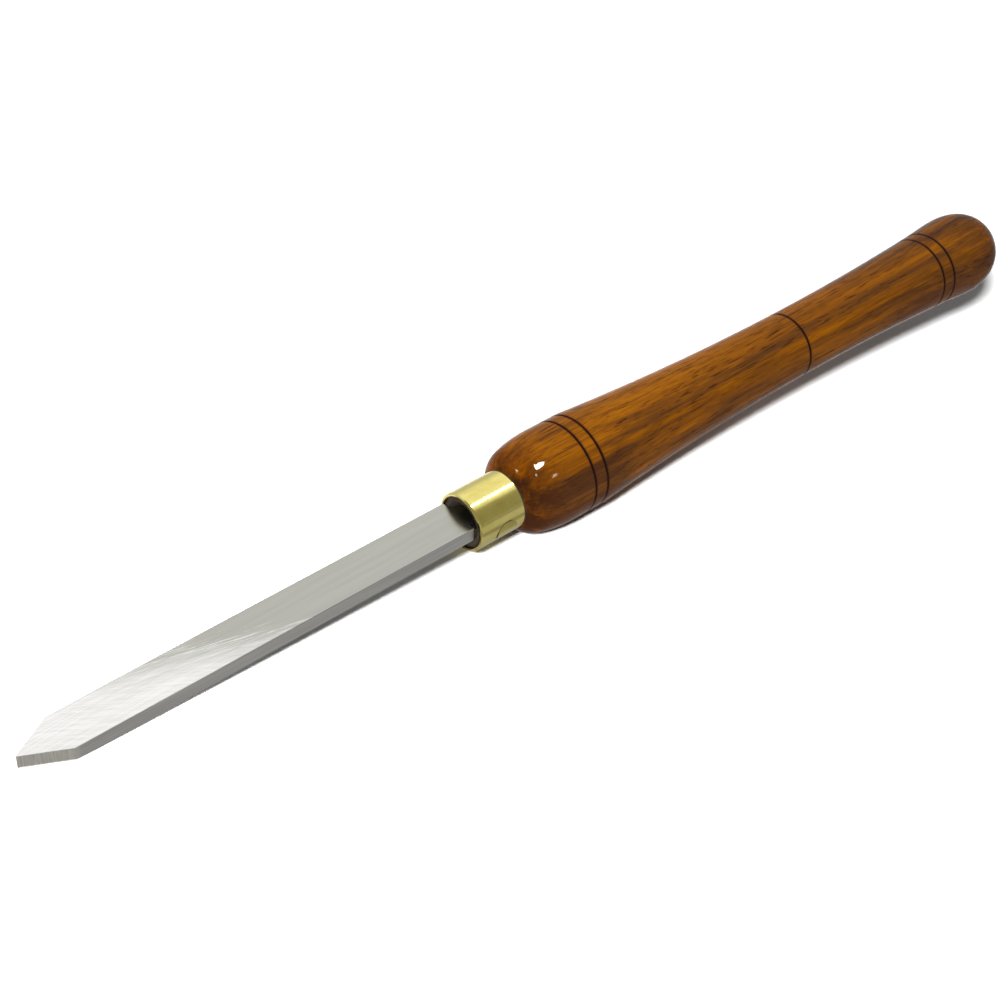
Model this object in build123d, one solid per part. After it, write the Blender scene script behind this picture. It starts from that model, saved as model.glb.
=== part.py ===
from build123d import *
from math import asin, atan2, copysign, cos, degrees, radians, sin, sqrt, tan
import os

# Lathe parting tool
# A flat high speed steel blade with a ground point, a brass ferrule and a turned
# hardwood handle, lying as it comes to rest on a bench. Sizes are in millimetres.
# Each piece is drawn on the handle's own axis. X starts at the ferrule's front face
# and runs towards the butt, and Z stands square on the blade's wide face.
# The last section lays the three pieces down together.

# Blade sizes, for a bar of 3/4 by 1/4 inch
blade_width = 19.05
blade_thickness = 6.35
bar_length = 199.0
point_angle = 55.0
# The cutting edge is a narrow land, and the long edges of the bar are eased
edge_land = 0.4
bar_arris = 0.3
# The blade sits a little above the handle's axis, and its shoulders stop short of it
blade_rise = 1.4
shoulder_gap = 1.6

# Tang sizes
tang_length = 78.0
tang_root_width = 11.0
tang_end_width = 7.0
tang_root_radius = 2.5
tang_clearance = 0.05
tang_end_gap = 2.0

# Ferrule sizes, for a tube of 1 inch with a 1/16 inch wall
ferrule_diameter = 25.4
ferrule_wall = 1.6
ferrule_length = 23.0
ferrule_rim_chamfer = 0.4
ferrule_clearance = 0.03
# The mark of the punch that locks the ferrule on the wood
punch_radius = 5.2
punch_depth = 0.6
punch_place = 13.8
punch_tilt = 7.0
punch_drop = 3.5

# Handle sizes
handle_length = 309.0
# The nose rounds down to the spigot and meets it this many degrees off square
nose_start_angle = 20.0
nose_corner_radius = 12.5
nose_length = 23.1
crest_radius = 20.75
crest_length = 18.0
waist_radius = 15.35
waist_place = 197.0
butt_bead_length = 20.0
butt_radius = 19.2
butt_dome_length = 22.8
butt_end_radius = 18.6
# The end of the spigot lies inside the ferrule, with a turning centre's recess in it
spigot_setback = 1.0
spigot_rim = 2.3
centre_angle = 90.0

# Burnt rings, from the ferrule's front face
ring_width = 1.1
ring_depth = 0.5
front_ring_place = 61.2
front_ring_gap = 6.6
waist_ring_place = 191.0
butt_ring_gap = 7.0

# Sizes that follow
half_point = radians(point_angle / 2)
nose_start = radians(nose_start_angle)
point_length = (blade_width - edge_land) / 2 / tan(half_point)
shoulder_x = -shoulder_gap
tip_x = shoulder_x - bar_length
tang_end_x = shoulder_x + tang_length
ferrule_radius = ferrule_diameter / 2
bore_radius = ferrule_radius - ferrule_wall
spigot_radius = bore_radius - ferrule_clearance
crest_start = ferrule_length + nose_length
crest_end = crest_start + crest_length
butt_x = ferrule_length + handle_length
butt_crest = butt_x - butt_dome_length
bead_start = butt_crest - butt_bead_length

# The long hollow is one arc, thinnest at the waist, that starts where the crest ends
hollow_run = waist_place - crest_end
hollow_fall = crest_radius - waist_radius
hollow_radius = (hollow_run**2 + hollow_fall**2) / (2 * hollow_fall)


def crest_arc_radius(run, rise, end_radius, end_angle):
    """Radius of the crest's arc, where the end arc before it starts this far off square."""
    along = run - end_radius * cos(end_angle)
    outward = rise + end_radius * sin(end_angle)
    return (along**2 + outward**2 - end_radius**2) / (2 * (outward - end_radius))


def hollow_at(x):
    """Radius of the hollow stretch of the handle at a place along its axis."""
    return waist_radius + hollow_radius - sqrt(hollow_radius**2 - (x - waist_place) ** 2)


def tang_outline(clearance, end_gap):
    """Tapered outline of the tang, or of its hole when a clearance is given."""
    root = tang_root_width / 2 + clearance
    end = tang_end_width / 2 + clearance
    end_x = tang_end_x + end_gap
    return Polyline(
        (shoulder_x, -root), (end_x, -end), (end_x, end), (shoulder_x, root), close=True
    )


def slab(outline, thickness):
    """Plate with the given outline, as thick on each side of the blade's middle."""
    face = Pos(0, 0, blade_rise) * make_face(outline)
    return extrude(face, amount=thickness / 2, both=True)


def make_blade():
    half_width = blade_width / 2
    bevel_x = tip_x + point_length
    bar = Polyline(
        (tip_x, -edge_land / 2),
        (bevel_x, -half_width),
        (shoulder_x, -half_width),
        (shoulder_x, half_width),
        (bevel_x, half_width),
        (tip_x, edge_land / 2),
        close=True,
    )
    blade = slab(bar, blade_thickness) + slab(tang_outline(0, 0), blade_thickness)
    # The tang's two root corners are the upright edges nearest to the shoulders' middle
    upright_edges = blade.edges().filter_by(Axis.Z)
    root_corners = upright_edges.sort_by_distance((shoulder_x, 0, blade_rise))[:2]
    blade = fillet(root_corners, tang_root_radius)
    long_edges = [
        edge
        for edge in blade.edges().filter_by(Axis.X)
        if edge.length > bar_length / 2
    ]
    return fillet(long_edges, bar_arris)


def make_ferrule():
    tube = Cylinder(ferrule_radius, ferrule_length) - Cylinder(bore_radius, ferrule_length)
    rims = [
        edge
        for edge in tube.edges().filter_by(GeomType.CIRCLE)
        if edge.radius > bore_radius + ferrule_wall / 2
    ]
    tube = chamfer(rims, ferrule_rim_chamfer)
    tube = Pos(ferrule_length / 2, 0, 0) * Rot(0, 90, 0) * tube
    punch = Cylinder(punch_radius, ferrule_wall, align=(Align.CENTER, Align.CENTER, Align.MIN))
    punch_seat = Pos(punch_place, punch_depth - ferrule_radius, 0)
    return tube - punch_seat * Rot(90 - punch_tilt, 0, 0) * Pos(0, -punch_drop, 0) * punch


def rounded_end(end, crest, end_radius, end_angle=0.0):
    """Two tangent arcs, from an end about square to the axis to a crest that runs along it."""
    run = crest[0] - end[0]
    way = copysign(1, run)
    crest_arc = crest_arc_radius(abs(run), crest[1] - end[1], end_radius, end_angle)
    inward = Vector(way * cos(end_angle), -sin(end_angle))
    end_centre = Vector(*end) + inward * end_radius
    crest_centre = Vector(crest[0], crest[1] - crest_arc)
    joint = end_centre + (end_centre - crest_centre).normalized() * end_radius
    return [
        TangentArc(end, joint, tangent=(way * sin(end_angle), cos(end_angle))),
        TangentArc(crest, joint, tangent=(-way, 0)),
    ]


def handle_profile():
    """Half section of the handle, from the spigot to the butt."""
    front = (ferrule_length, spigot_radius)
    crest_front = (crest_start, crest_radius)
    butt = (butt_x, 0)
    bead_slope = (bead_start - waist_place) / hollow_radius
    line = Polyline(butt, (spigot_setback, 0), (spigot_setback, spigot_radius), front)
    nose = rounded_end(front, crest_front, nose_corner_radius, nose_start)
    crest = Line(crest_front, (crest_end, crest_radius))
    hollow = ThreePointArc(
        (crest_end, crest_radius),
        (waist_place, waist_radius),
        (bead_start, hollow_at(bead_start)),
    )
    bead = Spline(
        [(bead_start, hollow_at(bead_start)), (butt_crest, butt_radius)],
        tangents=[(1, bead_slope), (1, 0)],
    )
    dome = rounded_end(butt, (butt_crest, butt_radius), butt_end_radius)
    return make_face([line, *nose, crest, hollow, bead, *dome])


def make_ring(x, radius):
    """Cutter of one V-shaped ring, which keeps its slope above the surface."""
    ring = Polyline(
        (x, radius - ring_depth),
        (x + ring_width, radius + ring_depth),
        (x - ring_width, radius + ring_depth),
        close=True,
    )
    return revolve(make_face(ring), Axis.X)


def make_handle():
    handle = revolve(handle_profile(), Axis.X)
    rings = [
        (front_ring_place - front_ring_gap, crest_radius),
        (front_ring_place, crest_radius),
        (waist_ring_place, hollow_at(waist_ring_place)),
        (bead_start - butt_ring_gap, hollow_at(bead_start - butt_ring_gap)),
        (bead_start, hollow_at(bead_start)),
    ]
    for x, radius in rings:
        handle -= make_ring(x, radius)
    centre_radius = spigot_radius - spigot_rim
    centre_depth = centre_radius / tan(radians(centre_angle / 2))
    centre = Cone(centre_radius, 0, centre_depth, align=(Align.CENTER, Align.CENTER, Align.MIN))
    handle -= Pos(spigot_setback, 0, 0) * Rot(0, 90, 0) * centre
    hole_thickness = blade_thickness + 2 * tang_clearance
    return handle - slab(tang_outline(tang_clearance, tang_end_gap), hole_thickness)


# Laying the tool down
# It is heavier in front of the nose than behind it, so it lies on the nose and on
# the lower edge of one bevel of the point, with the butt off the bench. The unit
# vector up from the bench is found from those two contacts by a few repeats.
pose_repeats = 30
nose_rise = crest_radius - spigot_radius
nose_arc = crest_arc_radius(nose_length, nose_rise, nose_corner_radius, nose_start)
blade_under = blade_rise - blade_thickness / 2
lean = 0.0
for repeat in range(pose_repeats):
    side = lean / tan(half_point)
    round_part = sqrt(1 - lean**2)
    upright = sqrt(1 - lean**2 - side**2)
    nose_drop = nose_arc + round_part * (crest_radius - nose_arc)
    tip_drop = side * edge_land / 2 - upright * blade_under
    lean = (nose_drop - tip_drop) / (crest_start - tip_x)
roll = atan2(side, upright)
pitch = asin(lean)
lift = tip_drop - lean * tip_x

pieces = {"blade": make_blade(), "ferrule": make_ferrule(), "handle": make_handle()}
laid = Rot(0, -degrees(pitch), 0) * Rot(degrees(roll), 0, 0)
whole = Compound(children=[laid * piece for piece in pieces.values()]).bounding_box()
laid = Pos(-whole.center().X, 0, lift) * laid

os.makedirs("parts", exist_ok=True)
for name, piece in pieces.items():
    export_step(laid * piece, f"parts/{name}.step")
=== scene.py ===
# %% [markdown]
# # A lathe parting tool
# A woodturner's parting tool has three pieces: a flat steel blade ground to a point, a short
# brass ferrule and a long turned wooden handle with a glossy finish. All three shapes come
# ready from the imported CAD model. What is left for Blender is what the pieces are made of and
# the light they lie in. We load the model first and print the outer box of each piece.

# %% Load the imported model
import math
import bpy
from mathutils import Matrix, Vector


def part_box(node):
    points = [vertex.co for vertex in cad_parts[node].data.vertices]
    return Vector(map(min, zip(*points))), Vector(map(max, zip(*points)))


millimetre = 0.001
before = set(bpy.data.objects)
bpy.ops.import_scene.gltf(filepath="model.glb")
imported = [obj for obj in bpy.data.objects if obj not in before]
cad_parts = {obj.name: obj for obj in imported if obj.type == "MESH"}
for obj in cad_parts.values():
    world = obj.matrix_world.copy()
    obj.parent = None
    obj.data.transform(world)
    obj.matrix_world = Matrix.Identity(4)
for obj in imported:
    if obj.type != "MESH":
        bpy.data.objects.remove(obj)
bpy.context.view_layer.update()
bpy.ops.object.select_all(action="DESELECT")
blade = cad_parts["blade"]
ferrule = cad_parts["ferrule"]
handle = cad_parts["handle"]
for piece in (blade, ferrule, handle):
    low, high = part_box(piece.name)
    size = [round(side / millimetre, 1) for side in high - low]
    print(piece.name, len(piece.data.polygons), "faces, box in mm", size)

# %% [markdown]
# ## The camera
# The tool is seen from its point, from the left and a third of the way up. A long lens keeps
# the far end of the handle from shrinking much. The camera is given as a place and three turns:
# a heading about the upright axis, a tilt up from looking straight down, and a small roll.

# %% Place the camera
camera_place = Vector((-0.49109, -0.49737, 0.43706))
camera_heading = math.radians(-41.907)
camera_tilt = math.radians(58.009)
camera_roll = math.radians(0.824)
camera_lens = 70.63
camera_sensor = 36

bpy.ops.object.camera_add(location=camera_place)
camera = bpy.context.object
camera.name = "camera"
turned = (
    Matrix.Rotation(camera_heading, 3, "Z")
    @ Matrix.Rotation(camera_tilt, 3, "X")
    @ Matrix.Rotation(camera_roll, 3, "Z")
)
camera.rotation_euler = turned.to_euler()
camera.data.sensor_width = camera_sensor
camera.data.lens = camera_lens
bpy.context.scene.camera = camera
print("camera", [round(v, 3) for v in camera.location], "lens", camera_lens)

# %% [markdown]
# ## Building materials from nodes
# Every finish below is a small tree of nodes. Writing each node out in full takes many lines,
# so one helper adds a node with its settings and inputs, where an input may be a number, a
# colour or another node's output. A second helper is for sums, because they are used most.

# %% Helpers for node trees
def add_node(tree, kind, inputs=None, **settings):
    node = tree.nodes.new(kind)
    for name, value in settings.items():
        setattr(node, name, value)
    for name, value in (inputs or {}).items():
        if isinstance(value, bpy.types.NodeSocket):
            tree.links.new(value, node.inputs[name])
        else:
            node.inputs[name].default_value = value
    return node


def sum_node(tree, operation, *values):
    inputs = dict(enumerate(values))
    return add_node(tree, "ShaderNodeMath", inputs, operation=operation).outputs[0]


def new_material(name):
    material = bpy.data.materials.new(name)
    material.use_nodes = True
    material.node_tree.nodes.clear()
    return material


print("helpers ready")

# %% [markdown]
# ## One set of axes for all three pieces
# The tool lies a little tilted and rolled on the bench, but grain, grinding marks and rings
# follow the tool and not the bench. A Mapping node of the kind Texture takes the object's
# coordinates back through the tool's own turn and shift. After it, X runs in millimetres from
# the ferrule's front face towards the butt, and Z stands square on the blade's wide face.
# All places and sizes in the materials of the three pieces are in these millimetres.

# %% Axes of the tool
tool_roll = math.radians(8.570183)
tool_pitch = math.radians(-4.435854)
tool_place = (-0.065354958, 0.0, 0.017294630)


def tool_axes(tree):
    coordinates = add_node(tree, "ShaderNodeTexCoord")
    return add_node(
        tree,
        "ShaderNodeMapping",
        {
            "Vector": coordinates.outputs["Object"],
            "Location": tool_place,
            "Rotation": (tool_roll, tool_pitch, 0),
            "Scale": (millimetre, millimetre, millimetre),
        },
        vector_type="TEXTURE",
    ).outputs["Vector"]


def split(tree, vector):
    return add_node(tree, "ShaderNodeSeparateXYZ", {"Vector": vector}).outputs


print("tool lies rolled", round(math.degrees(tool_roll), 2), "degrees")

# %% [markdown]
# Four more helpers do nearly all the work. A noise stretched along the tool gives marks that
# run one way, an eased range turns a noise or a place into a mask, and two kinds of blend put
# colours or numbers together. Each range is a pair, and it may run down as well as up.

# %% Helpers for noises, masks and blends
def stretched_noise(tree, vector, spans, detail=2.0, roughness=0.5, turn=0.0):
    """Noise with features about as long as spans, in millimetres, along the tool's axes."""
    placed = add_node(
        tree,
        "ShaderNodeMapping",
        {"Vector": vector, "Rotation": (0, 0, math.radians(turn)), "Scale": spans},
        vector_type="TEXTURE",
    ).outputs["Vector"]
    return add_node(
        tree,
        "ShaderNodeTexNoise",
        {"Vector": placed, "Scale": 1.0, "Detail": detail, "Roughness": roughness},
    ).outputs["Fac"]


def ease(tree, value, span, result=(0.0, 1.0)):
    """Goes smoothly from the first result to the second while value goes through its span."""
    limits = {"From Min": span[0], "From Max": span[1], "To Min": result[0], "To Max": result[1]}
    return add_node(
        tree, "ShaderNodeMapRange", {"Value": value, **limits}, interpolation_type="SMOOTHSTEP"
    ).outputs["Result"]


def blend_colours(tree, factor, first, second, how="MIX"):
    """A Mix node has hidden inputs for other kinds of data, so its own go by number."""
    inputs = {0: factor, 6: first, 7: second}
    return add_node(tree, "ShaderNodeMix", inputs, data_type="RGBA", blend_type=how).outputs[2]


def blend_values(tree, factor, first, second):
    inputs = {0: factor, 2: first, 3: second}
    return add_node(tree, "ShaderNodeMix", inputs, data_type="FLOAT").outputs[0]


print("noise, mask and blend helpers ready")

# %% [markdown]
# ## The handle's wood
# The wood is an amber, teak-like hardwood under a clear glossy lacquer. Seen close, it has
# broad warm and dark bands along the grain, fine fibre lines, and short dark pores like pencil
# dashes. Each of these is one noise stretched along the tool: the longer the stretch, the
# straighter the line. Because the noise fills space like real grain does, the bands close into
# loops by themselves where the rounded ends cut through them. The pores crowd in the darker
# bands and thin out towards the nose.

# %% Wood: bands, fibres and pores
wood = new_material("lacquered_hardwood")
tree = wood.node_tree
axes = tool_axes(tree)
along, across, upward = split(tree, axes)
band_spans, fibre_spans = (170, 9, 9), (60, 1.0, 1.0)
pore_spans, wave_spans = (11, 0.55, 0.55), (60, 4.5, 4.5)
bands = stretched_noise(tree, axes, band_spans, detail=3, roughness=0.6)
fibres = stretched_noise(tree, axes, fibre_spans, detail=3, roughness=0.6)
pores = stretched_noise(tree, axes, pore_spans, detail=1, roughness=0.5)
waves = stretched_noise(tree, axes, wave_spans, detail=4, roughness=0.65)

# Only the peaks of the pore noise are pores
pore_peaks = (0.58, 0.66)
pale_to_dark_bands, crowding = (0.62, 0.40), (0.45, 1.0)
nose_to_crest, thinning = (30, 44), (0.25, 1.0)
pore_mask = ease(tree, pores, pore_peaks)
pore_zone = ease(tree, bands, pale_to_dark_bands, crowding)
pore_mask = sum_node(tree, "MULTIPLY", pore_mask, pore_zone)
pore_mask = sum_node(tree, "MULTIPLY", pore_mask, ease(tree, along, nose_to_crest, thinning))
print("wood grain: bands, fibres, waves and pores")

# %% [markdown]
# The tone also drifts slowly from one colour to another. Its upper side is amber and its lower
# side brown: partly the wood's own figure, which has an amber band along the top, and partly
# painted light from above and painted shade below. The lower, near side of the nose is darker
# with painted shade, and the wood also darkens towards the butt. What we follow round the
# handle is a height over the tool's axis that leans a little to the far side. Each drift below
# has the span where it happens and what it adds to the tone, or takes away from it, at the two
# ends of that span.

# %% Wood: slow drifts of the tone
far_side_lean = 0.5
lower_to_upper_side, figure_and_painted_light_tones = (-4.0, 15.0), (0.385, 0.575)
crown, crown_figure_and_light_gain = (9.0, 14.0), (0.0, 0.10)
hollow_to_nose, crown_to_near_side, nose_painted_shade = (88, 62), (13, 8), (0.0, 0.22)
waist_to_butt, length_loss = (200, 290), (0.0, 0.15)
hollow_to_butt, axis_to_crown, butt_loss = (245, 300), (2, 10), (0.0, 0.14)

figure_and_light_height = sum_node(tree, "MULTIPLY_ADD", across, far_side_lean, upward)
# Upper side paler, lower side darker: partly the wood's figure, partly painted light and shade
tone = ease(tree, figure_and_light_height, lower_to_upper_side, figure_and_painted_light_tones)
# A paler crown along the top: partly the wood's figure, partly painted light
tone = sum_node(tree, "ADD", tone, ease(tree, figure_and_light_height, crown, crown_figure_and_light_gain))
# Painted shade on the lower, near side of the nose
near_nose_painted_shade = ease(tree, figure_and_light_height, crown_to_near_side, nose_painted_shade)
near_nose_painted_shade = sum_node(tree, "MULTIPLY", ease(tree, along, hollow_to_nose), near_nose_painted_shade)
near_butt = ease(tree, figure_and_light_height, axis_to_crown, butt_loss)
near_butt = sum_node(tree, "MULTIPLY", ease(tree, along, hollow_to_butt), near_butt)
for loss in (near_nose_painted_shade, ease(tree, along, waist_to_butt, length_loss), near_butt):
    tone = sum_node(tree, "SUBTRACT", tone, loss)
print("wood drifts: side, crown, nose, length and butt")

# %% [markdown]
# The drifts and three of the noises add up to one tone. A noise is counted from its middle, so
# that it makes the wood darker as often as paler. A colour ramp then turns the tone into wood,
# from dark heartwood to amber, and the pores are laid over it nearly black.

# %% Wood: colour
noise_middle = 0.5
band_share, fibre_share, wave_share = 1.3, 0.65, 0.6
heartwood_to_amber = (
    (0.18, (0.074, 0.027, 0.009, 1)),
    (0.38, (0.130, 0.046, 0.008, 1)),
    (0.58, (0.225, 0.071, 0.004, 1)),
    (0.82, (0.38, 0.125, 0.002, 1)),
)
pore_colour = (0.018, 0.007, 0.003, 1)
pore_strength = 0.7


def add_share(tree, value, noise, share):
    """Adds a share of a noise to a value, and leaves the value's average as it is."""
    swing = sum_node(tree, "SUBTRACT", noise, noise_middle)
    return sum_node(tree, "MULTIPLY_ADD", swing, share, value)


for noise, share in ((bands, band_share), (fibres, fibre_share), (waves, wave_share)):
    tone = add_share(tree, tone, noise, share)
grain = add_node(tree, "ShaderNodeValToRGB", {"Fac": tone})
# A new ramp has its first and last stop already
stops = grain.color_ramp.elements
for position, _ in heartwood_to_amber[1:-1]:
    stops.new(position)
for stop, (position, colour) in zip(stops, heartwood_to_amber):
    stop.position, stop.color = position, colour
pore_mix = sum_node(tree, "MULTIPLY", pore_mask, pore_strength)
wood_colour = blend_colours(tree, pore_mix, grain.outputs["Color"], pore_colour)
print("wood colours:", [round(stop.position, 2) for stop in stops], "from dark to amber")

# %% [markdown]
# ## Dark ends and burnt rings
# Lacquer soaks deeper into end grain, so the nose behind the ferrule and the butt are darker
# and redder. The five thin rings are cut with a point and then burnt black by a wire held
# against the turning handle. The grooves are in the mesh, and here their colour is added:
# the distance to the nearest ring decides how dark the wood is. The spigot's end, inside the
# ferrule, is painted a dark grey-brown: painted shade of that deep recess.

# %% Wood: ends and rings
ring_places = (54.6, 61.2, 191.0, 282.2, 289.2)
burnt_reach, burnt_colour = (0.75, 0.35), (0.014, 0.006, 0.005, 1)
scorch_reach, scorch_strength = (1.5, 0.5), (0.0, 0.45)
scorch_colour = (0.05, 0.018, 0.008, 1)
nose_reach = (44, 24)
butt_reach, butt_strength = (300, 331), (0.0, 0.55)
end_tint, end_strength = (0.42, 0.30, 0.26, 1), 0.7
ferrule_back, spigot_end_painted_shade = (23.8, 23.3), (0.065, 0.052, 0.038, 1)

distances = [
    sum_node(tree, "ABSOLUTE", sum_node(tree, "SUBTRACT", along, place)) for place in ring_places
]
nearest = distances[0]
for distance in distances[1:]:
    nearest = sum_node(tree, "MINIMUM", nearest, distance)
butt_end = ease(tree, along, butt_reach, butt_strength)
end_mask = sum_node(tree, "MAXIMUM", ease(tree, along, nose_reach), butt_end)
end_mask = sum_node(tree, "MULTIPLY", end_mask, end_strength)
wood_colour = blend_colours(tree, end_mask, wood_colour, end_tint, "MULTIPLY")
for mask, colour in (
    (ease(tree, nearest, scorch_reach, scorch_strength), scorch_colour),
    (ease(tree, nearest, burnt_reach), burnt_colour),
    # Painted shade on the spigot's end, in the recess inside the ferrule
    (ease(tree, along, ferrule_back), spigot_end_painted_shade),
):
    wood_colour = blend_colours(tree, mask, wood_colour, colour)
print("burnt rings at", ring_places)

# %% [markdown]
# ## The lacquer
# A clear finish is a second, smooth layer over a duller one. The Coat inputs of the Principled
# shader do that: the wood under it is fairly rough, and the coat is nearly a mirror. Rubbed
# lacquer mirrors far more at its edges than where it faces you. A Layer Weight node gives that
# angle, and it drives how much coat there is. Pores show through as the faintest dents.

# %% Wood: lacquer
# Most values of a noise lie in this span
noise_swing = (0.3, 0.7)
wood_roughness = (0.42, 0.55)
facing_to_edge, coat_amounts = (0.40, 0.85), (0.30, 0.78)
downward = -1.0


def dents(tree, height, strength, depth):
    """Dents and ridges that only the light sees, with their depth in millimetres."""
    inputs = {"Height": height, "Strength": strength, "Distance": depth * millimetre}
    return add_node(tree, "ShaderNodeBump", inputs).outputs["Normal"]


def dress(piece, material, shader):
    """Ends the material's tree and makes it the only material of the piece."""
    add_node(material.node_tree, "ShaderNodeOutputMaterial", {"Surface": shader.outputs[0]})
    piece.data.materials.clear()
    piece.data.materials.append(material)
    print(piece.name, "is made of", material.name)


pore_floor = sum_node(tree, "MULTIPLY", pore_mask, downward)
edge_on = add_node(tree, "ShaderNodeLayerWeight", {"Blend": 0.5}).outputs["Facing"]
wood_shader = add_node(
    tree,
    "ShaderNodeBsdfPrincipled",
    {
        "Base Color": wood_colour,
        "Roughness": ease(tree, fibres, noise_swing, wood_roughness),
        "Specular IOR Level": 0.0,
        "Coat Weight": ease(tree, edge_on, facing_to_edge, coat_amounts),
        "Coat Roughness": 0.05,
        "Coat IOR": 1.2,
        "Normal": dents(tree, pore_floor, strength=0.25, depth=0.08),
    },
)
dress(handle, wood, wood_shader)

# %% [markdown]
# ## The brass ferrule
# The ferrule is cut from drawn tube and polished on the lathe. Brass is a metal, so its colour
# is in its reflections: what makes it look like brass is what it mirrors. The polishing leaves
# faint rings round it, and handling leaves clouds of tarnish and a few specks.

# %% Brass: rings, tarnish and specks
brass = new_material("polished_brass")
tree = brass.node_tree
axes = tool_axes(tree)
along, across, upward = split(tree, axes)
ring_spans, cloud_spans, speck_spans = (0.22, 30, 30), (7, 5, 5), (0.8, 0.6, 0.6)
clean_colour, tarnished_colour = (0.81, 0.70, 0.23, 1), (0.70, 0.57, 0.14, 1)
tarnished_clouds, tarnish_strength = (0.42, 0.75), (0.0, 0.6)
speck_peaks, speck_colour = (0.755, 0.80), (0.12, 0.08, 0.03, 1)

rings = stretched_noise(tree, axes, ring_spans, detail=2)
clouds = stretched_noise(tree, axes, cloud_spans, detail=3)
specks = stretched_noise(tree, axes, speck_spans, detail=1)
tarnish = ease(tree, clouds, tarnished_clouds, tarnish_strength)
brass_colour = blend_colours(tree, tarnish, clean_colour, tarnished_colour)
speck_mask = ease(tree, specks, speck_peaks)
brass_colour = blend_colours(tree, speck_mask, brass_colour, speck_colour)
print("brass: rings, tarnish and specks")

# %% [markdown]
# Two places are dirty. Lacquer from the wood has run into the bore and over the inner edge of
# the rim, and dried brown: the distance from the tube's axis finds it, and a noise makes its
# edge ragged. Grime has settled on the upper edge of the mark that a punch has left: the
# distance from the punch's middle finds that. The tube's far side has the same distances, and
# towards the handle the mark fades out, so two more masks keep the grime in its place.

# %% Brass: stained bore and punch mark
tube_middle = (0, 0, 0)
stain_ragged, stain_edge = 1.2, (12.4, 12.0)
stain_colour = (0.075, 0.03, 0.012, 1)
punch_middle, punch_radius = (13.8, 0, -3.5), 5.1
grime_width, grime_colour = (0.8, 0.25), (0.06, 0.045, 0.02, 1)
near_wall = (-11.6, -11.9)
back_to_front, grime_strength = (17.0, 15.0), (0.1, 1.0)


def distance_from(tree, point, **coordinates):
    """Distance of a place from a point. A coordinate that isn't given counts as nothing."""
    place = add_node(tree, "ShaderNodeCombineXYZ", coordinates).outputs["Vector"]
    return add_node(
        tree, "ShaderNodeVectorMath", {0: place, 1: point}, operation="DISTANCE"
    ).outputs["Value"]


radius = distance_from(tree, tube_middle, Y=across, Z=upward)
stain = ease(tree, sum_node(tree, "MULTIPLY_ADD", clouds, stain_ragged, radius), stain_edge)
brass_colour = blend_colours(tree, stain, brass_colour, stain_colour)
from_punch = distance_from(tree, punch_middle, X=along, Z=upward)
from_edge = sum_node(tree, "ABSOLUTE", sum_node(tree, "SUBTRACT", from_punch, punch_radius))
grime = ease(tree, from_edge, grime_width)
grime = sum_node(tree, "MULTIPLY", grime, ease(tree, across, near_wall))
grime = sum_node(tree, "MULTIPLY", grime, ease(tree, along, back_to_front, grime_strength))
brass_colour = blend_colours(tree, grime, brass_colour, grime_colour)
print("brass: stained inside and along the punch mark")

# %% [markdown]
# Dirt is dull, so wherever there is a speck, a stain or grime the brass is also rougher. The
# rings of the polishing change the roughness a little and are cut a little into the surface,
# so the reflections break up into fine lines round the tube.

# %% Brass: polish
clean_roughness, ring_roughness, soiled_roughness = 0.115, 0.09, 0.35


def metal_shader(tree, colour, roughness, normal):
    return add_node(
        tree,
        "ShaderNodeBsdfPrincipled",
        {"Base Color": colour, "Metallic": 1.0, "Roughness": roughness, "Normal": normal},
    )


soiled = sum_node(tree, "MAXIMUM", speck_mask, sum_node(tree, "MAXIMUM", stain, grime))
polish = sum_node(tree, "MULTIPLY_ADD", rings, ring_roughness, clean_roughness)
polish = sum_node(tree, "MULTIPLY_ADD", soiled, soiled_roughness, polish)
ring_grooves = dents(tree, rings, strength=0.12, depth=0.03)
dress(ferrule, brass, metal_shader(tree, brass_colour, polish, ring_grooves))

# %% [markdown]
# ## The blade's steel
# High speed steel is bought as a ground bar. The half by the point has been ground again on a
# belt: fine scratches run along it and slanting across it, and it scatters light so much that
# it looks almost white. Behind a ragged, slanting boundary the bar keeps its smoother, greyer
# face, with a few bright strokes where the belt has just touched it. One mask, made from the
# place along the blade plus a share of the place across it, divides the two finishes.

# %% Steel: where the belt has ground it
steel = new_material("ground_high_speed_steel")
tree = steel.node_tree
axes = tool_axes(tree)
along, across, upward = split(tree, axes)
boundary_slant, boundary_wander = 2.5, 46.0
ragged_spans, ragged_turn = (26, 1.3, 1.3), -10
ground_from_to = (-100, -160)
stroke_spans, stroke_turn = (16, 0.5, 2), -14
touched_from_to = (-98, -112)
stroke_peaks, stroke_strength = (0.54, 0.62), 0.75

slant = sum_node(tree, "MULTIPLY_ADD", across, boundary_slant, along)
ragged = stretched_noise(tree, axes, ragged_spans, detail=3, roughness=0.7, turn=ragged_turn)
slant = add_share(tree, slant, ragged, boundary_wander)
strokes = stretched_noise(tree, axes, stroke_spans, detail=2, roughness=0.6, turn=stroke_turn)
touched = ease(tree, slant, touched_from_to)
stroke_mask = sum_node(tree, "MULTIPLY", ease(tree, strokes, stroke_peaks), touched)
stroke_mask = sum_node(tree, "MULTIPLY", stroke_mask, stroke_strength)
ground = sum_node(tree, "MAXIMUM", ease(tree, slant, ground_from_to), stroke_mask)
print("steel: ground again in front of", ground_from_to[0], "mm")

# %% [markdown]
# The wide faces carry two sets of scratches, lengthwise and slanting. The narrow sides and the
# two faces of the point have marks of their own. On the sides they run along the bar, and on
# the point they run straight down, the way the grinding wheel crossed it. Which face we are on
# follows from the height over the tool's axis and from the place along it.

# %% Steel: scratches of each face
long_spans, long_turn = (34, 0.28, 2), 2
slant_spans, slant_turn = (12, 0.32, 2), -32
broad_spans = (48, 2.6, 4)
side_spans, point_spans = (40, 4, 0.35), (0.5, 0.5, 9)
near_top, near_underside = (4.30, 4.50), (-1.50, -1.70)
point_from_to = (-180, -184)
equal_parts = 0.5

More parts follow.
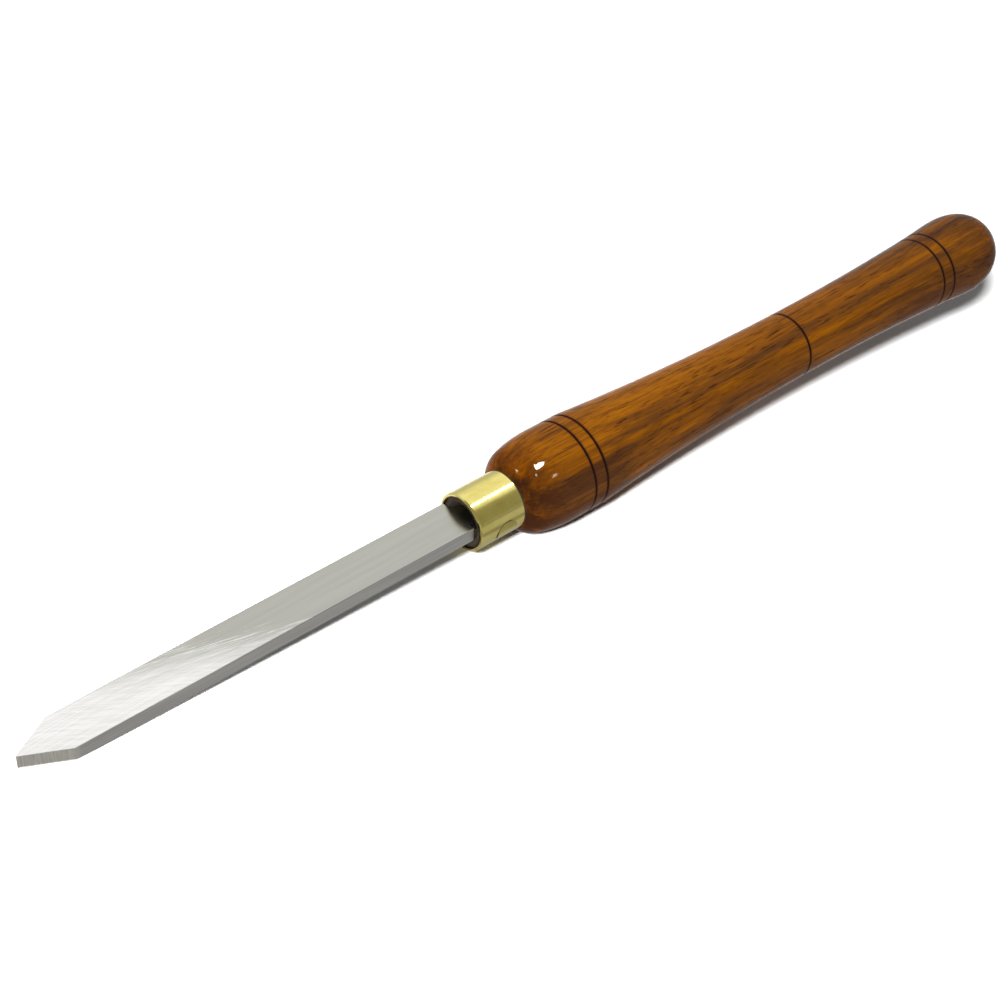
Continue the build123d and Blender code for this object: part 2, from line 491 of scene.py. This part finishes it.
lengthwise = stretched_noise(tree, axes, long_spans, detail=2, roughness=0.6, turn=long_turn)
slanting = stretched_noise(tree, axes, slant_spans, detail=2, roughness=0.6, turn=slant_turn)
scratches = blend_values(tree, equal_parts, lengthwise, slanting)
broad = stretched_noise(tree, axes, broad_spans, detail=3)
top_face = ease(tree, upward, near_top)
wide_face = sum_node(tree, "MAXIMUM", top_face, ease(tree, upward, near_underside))
point_end = ease(tree, along, point_from_to)
side_lines = stretched_noise(tree, axes, side_spans, detail=2, roughness=0.6)
point_lines = stretched_noise(tree, axes, point_spans, detail=2, roughness=0.6)
side_marks = blend_values(tree, point_end, side_lines, point_lines)
print("steel: wide faces, narrow sides and point")

# %% [markdown]
# Each mark changes two things at once: a little colour and a little height. The colour comes
# first: every face has its own grey, and its marks make that grey darker or paler.

# %% Steel: colour
ground_grey, smooth_grey = (0.96, 0.95, 0.93, 1), (0.445, 0.445, 0.40, 1)
side_grey, point_grey = (0.60, 0.59, 0.56, 1), (0.80, 0.77, 0.69, 1)
scratch_swing, scratch_tones = (0.36, 0.64), (0.86, 1.08)
broad_tones, side_mark_tones = (0.97, 1.03), (0.86, 1.10)


def shaded(tree, colour, tone):
    """Makes a colour darker or paler by a tone, where 1 leaves it as it is."""
    return blend_colours(tree, 1.0, colour, tone, "MULTIPLY")


ground_colour = shaded(tree, ground_grey, ease(tree, scratches, scratch_swing, scratch_tones))
smooth_colour = shaded(tree, smooth_grey, ease(tree, broad, noise_swing, broad_tones))
wide_colour = blend_colours(tree, ground, smooth_colour, ground_colour)
side_colour = blend_colours(tree, point_end, side_grey, point_grey)
side_colour = shaded(tree, side_colour, ease(tree, side_marks, noise_swing, side_mark_tones))
steel_colour = blend_colours(tree, wide_face, side_colour, wide_colour)
print("steel: a grey for each face")

# %% [markdown]
# The ground zone is the roughest, so it scatters the light of the lamps most widely. Its
# scratches are cut to their full height, and those of the smooth zone to a small part of it.

# %% Steel: roughness and height
smooth_roughness, ground_roughness, side_roughness = 0.24, 0.42, 0.38
none_to_ground, scratch_heights = (0.0, 1.0), (0.12, 1.0)

wide_roughness = blend_values(tree, ground, smooth_roughness, ground_roughness)
steel_roughness = blend_values(tree, wide_face, side_roughness, wide_roughness)
wide_height = ease(tree, ground, none_to_ground, scratch_heights)
wide_marks = sum_node(tree, "MULTIPLY", scratches, wide_height)
marks = blend_values(tree, wide_face, side_marks, wide_marks)
scratch_grooves = dents(tree, marks, strength=0.5, depth=0.06)
dress(blade, steel, metal_shader(tree, steel_colour, steel_roughness, scratch_grooves))

# %% [markdown]
# ## Smooth shading
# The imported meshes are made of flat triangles. Shading them smooth by angle hides the facets
# on round forms and keeps the real corners, because only edges under the angle are smoothed.

# %% Shade smooth by angle
flat_angle, round_angle = 20, 30
for piece, angle in ((blade, flat_angle), (ferrule, round_angle), (handle, round_angle)):
    bpy.ops.object.select_all(action="DESELECT")
    piece.select_set(True)
    bpy.context.view_layer.objects.active = piece
    bpy.ops.object.shade_smooth_by_angle(angle=math.radians(angle))
    print(piece.name, "smoothed under", angle, "degrees")
bpy.ops.object.select_all(action="DESELECT")

# %% [markdown]
# ## The floor
# The tool lies on a round sheet of plain white paper. Paper is dull, so a Diffuse shader is
# all it needs. Its colour depends on who looks: the camera sees pure white with the shadow on
# it, mirrors see a calmer grey-white, and the light that bounces up to the wood has the
# strength of real paper's. A Light Path node tells those rays apart. The sheet ends before the
# lamp's light fades, and past its edge the white room goes on.

# %% Floor
floor_radius = 0.85
bounced_white = (0.80, 0.80, 0.79, 1)
mirrored_white = (0.66, 0.66, 0.66, 1)
pure_white = (1, 1, 1, 1)

bpy.ops.mesh.primitive_circle_add(vertices=96, radius=floor_radius, fill_type="NGON")
floor = bpy.context.object
floor.name = "floor"
paper = new_material("white_paper")
tree = paper.node_tree
rays = add_node(tree, "ShaderNodeLightPath").outputs
mirrored = sum_node(tree, "MAXIMUM", rays["Is Glossy Ray"], rays["Is Transmission Ray"])
paper_colour = blend_colours(tree, mirrored, bounced_white, mirrored_white)
paper_colour = blend_colours(tree, rays["Is Camera Ray"], paper_colour, pure_white)
paper_shader = add_node(tree, "ShaderNodeBsdfDiffuse", {"Color": paper_colour})
dress(floor, paper, paper_shader)

# %% [markdown]
# ## The room
# Metal and lacquer look like what they mirror, so the room matters as much as the lamps. The
# camera sees it plain white. In mirrors it is darker near the horizon than overhead, which
# lays soft bands along the brass. A height of 1 is straight up in it.

# %% White room
soft_light = 0.17
seen_white = 1.0
low_to_high, wall_light = (0.20, 0.80), (0.64, 1.13)
upper_band, band_loss = (0.72, 0.82), (0.0, 0.07)

world = bpy.data.worlds.new("white_room")
bpy.context.scene.world = world
world.use_nodes = True
tree = world.node_tree
tree.nodes.clear()
looking = add_node(tree, "ShaderNodeTexCoord").outputs["Generated"]
height = split(tree, looking)[2]
wall = ease(tree, height, low_to_high, wall_light)
wall = sum_node(tree, "SUBTRACT", wall, ease(tree, height, upper_band, band_loss))
rays = add_node(tree, "ShaderNodeLightPath").outputs
wall = blend_values(tree, rays["Is Camera Ray"], wall, seen_white)
seen = sum_node(tree, "MAXIMUM", rays["Is Camera Ray"], rays["Is Glossy Ray"])
seen = sum_node(tree, "MAXIMUM", seen, rays["Is Transmission Ray"])
room_light = blend_values(tree, seen, soft_light, wall)
room = add_node(tree, "ShaderNodeBackground", {"Color": pure_white, "Strength": room_light})
add_node(tree, "ShaderNodeOutputWorld", {"Surface": room.outputs[0]})
print("room:", soft_light, "soft light, and", wall_light, "in mirrors")

# %% [markdown]
# The half of the room on the camera's side is dim, as it is in a photographer's studio. It
# gives the brass its olive side and keeps the wood's colour deep. That half is a piece of a
# large sphere that the camera doesn't see. Faces outside a stretch of bearings are deleted,
# and so are those under the floor. Bearings count here from -270 to 90 degrees, so that the
# stretch isn't cut in two.

# %% Dim half of the room
dim_from, dim_to = -205, -44
last_bearing, full_turn = 90, 360
dim_radius = 6
dim_colour = (1, 0.98, 0.78, 1)
not_to_mirrored, dim_light = (0, 1), (0.05, 0.31)

bpy.ops.mesh.primitive_uv_sphere_add(segments=120, ring_count=60, radius=dim_radius)
dim_half = bpy.context.object
dim_half.name = "dim_half_of_room"
bpy.ops.object.mode_set(mode="EDIT")
bpy.ops.mesh.select_all(action="DESELECT")
bpy.ops.object.mode_set(mode="OBJECT")
for face in dim_half.data.polygons:
    bearing = math.degrees(math.atan2(face.center.y, face.center.x))
    bearing = bearing - full_turn if bearing > last_bearing else bearing
    face.select = not (dim_from < bearing < dim_to and face.center.z > 0)
bpy.ops.object.mode_set(mode="EDIT")
bpy.ops.mesh.delete(type="FACE")
bpy.ops.object.mode_set(mode="OBJECT")
dim_half.visible_camera = False
dim = new_material("dim_wall")
tree = dim.node_tree
rays = add_node(tree, "ShaderNodeLightPath").outputs
strength = ease(tree, rays["Is Glossy Ray"], not_to_mirrored, dim_light)
glow = add_node(tree, "ShaderNodeEmission", {"Color": dim_colour, "Strength": strength})
dress(dim_half, dim, glow)
print("dim half has", len(dim_half.data.polygons), "faces")

# %% [markdown]
# ## A grey card
# White paper right in front of the tool would turn the near side of the steel and the lower
# half of the brass white. Photographers lay a grey card there, just out of sight. Here the
# card is hidden from the camera and from soft light, so only mirroring surfaces find it. Its
# shade changes across it, and each change shows as an edge between two bands on the brass.

# %% Grey card in front of the tool
card_place = (0.25, -0.45, 0.0006)
card_size = (1.6, 0.9, 1)
# Places are in metres from the card's middle, towards the tool
main_step, main_shades = (0.422, 0.428), (0.29, 0.48)
upper_step, upper_loss = (0.430, 0.440), (0.0, 0.07)
pale_step, pale_gain = (0.418, 0.408), (0.0, 0.22)
far_fade, far_loss = (0.36, 0.25), (0.0, 0.22)

bpy.ops.mesh.primitive_plane_add(size=1, location=card_place)
grey_card = bpy.context.object
grey_card.name = "grey_card"
grey_card.scale = card_size
bpy.ops.object.transform_apply(location=False, rotation=False, scale=True)
for way in ("camera", "diffuse", "shadow", "transmission"):
    setattr(grey_card, "visible_" + way, False)
card = new_material("grey_card")
tree = card.node_tree
place = split(tree, add_node(tree, "ShaderNodeTexCoord").outputs["Object"])[1]
shade = ease(tree, place, main_step, main_shades)
shade = sum_node(tree, "SUBTRACT", shade, ease(tree, place, upper_step, upper_loss))
shade = sum_node(tree, "ADD", shade, ease(tree, place, pale_step, pale_gain))
shade = sum_node(tree, "SUBTRACT", shade, ease(tree, place, far_fade, far_loss))
glow = add_node(tree, "ShaderNodeEmission", {"Color": pure_white, "Strength": shade})
dress(grey_card, card, glow)

# %% [markdown]
# ## The lamps
# Each job has its own lamp, and light linking keeps them apart: a collection names the
# objects that a lamp lights. The floor lamp lights the paper alone, so its place only decides
# where the shadow falls. It stands behind the camera's left shoulder, and most of the shadow
# hides behind the tool. The key lamp and a softer one overhead light the tool alone. Their
# mirror images would be large white patches, so shiny surfaces don't see them.

# %% Helpers for lamps
aim = Vector((-0.03, 0.0, 0.02))


def outward(azimuth, elevation):
    """Unit vector for a bearing round the upright axis and a height over the horizon."""
    a, e = math.radians(azimuth), math.radians(elevation)
    return Vector((math.cos(e) * math.cos(a), math.cos(e) * math.sin(a), math.sin(e)))


def add_lamp(name, azimuth, elevation, distance, diameter, watts):
    way = outward(azimuth, elevation)
    bpy.ops.object.light_add(type="AREA", location=aim + way * distance)
    lamp = bpy.context.object
    lamp.name = name
    lamp.rotation_euler = way.to_track_quat("Z", "Y").to_euler()
    lamp.data.shape = "DISK"
    lamp.data.size = diameter
    lamp.data.energy = watts
    print(name, "at", [round(v, 2) for v in lamp.location], watts, "W")
    return lamp


def light_only(lamp, pieces):
    lit = bpy.data.collections.new("lit_by_" + lamp.name)
    for piece in pieces:
        lit.objects.link(piece)
    lamp.light_linking.receiver_collection = lit


print("lamps aim at", [round(v, 2) for v in aim])

# %% Lamps for the paper and for the tool
floor_lamp = add_lamp(
    "floor_lamp", azimuth=215, elevation=36.2, distance=5.0, diameter=0.75, watts=630
)
key_lamp = add_lamp(
    "key_lamp", azimuth=228, elevation=28, distance=5.0, diameter=0.65, watts=200
)
top_lamp = add_lamp(
    "top_lamp", azimuth=90, elevation=60, distance=2.5, diameter=1.4, watts=46
)
for lamp, lit_pieces in (
    (floor_lamp, (floor,)),
    (key_lamp, (blade, ferrule, handle)),
    (top_lamp, (blade, ferrule, handle)),
):
    lamp.visible_glossy = False
    light_only(lamp, lit_pieces)
    print(lamp.name, "lights", [piece.name for piece in lit_pieces])

# %% [markdown]
# Five small lamps make the glints that tell the eye how glossy a piece is: four on the
# lacquered handle and one line along the brass. They add no soft light at all.

# %% Lamps for the glints
glint_distance = 1.5
for name, azimuth, elevation, diameter, watts, piece in (
    ("nose_glint", -81, 71, 0.29, 350, handle),
    ("left_glint", 166, 36, 0.18, 14, handle),
    ("low_glint", -75, 35, 0.14, 6, handle),
    ("mid_glint", -114, 53, 0.12, 8, handle),
    ("brass_line", -22, 60, 0.14, 1.2, ferrule),
):
    glint = add_lamp(name, azimuth, elevation, glint_distance, diameter, watts)
    glint.visible_diffuse = False
    light_only(glint, (piece,))

# %% [markdown]
# ## Last settings
# The Standard view shows colours as they were written.

# %% View
bpy.context.scene.view_settings.view_transform = "Standard"
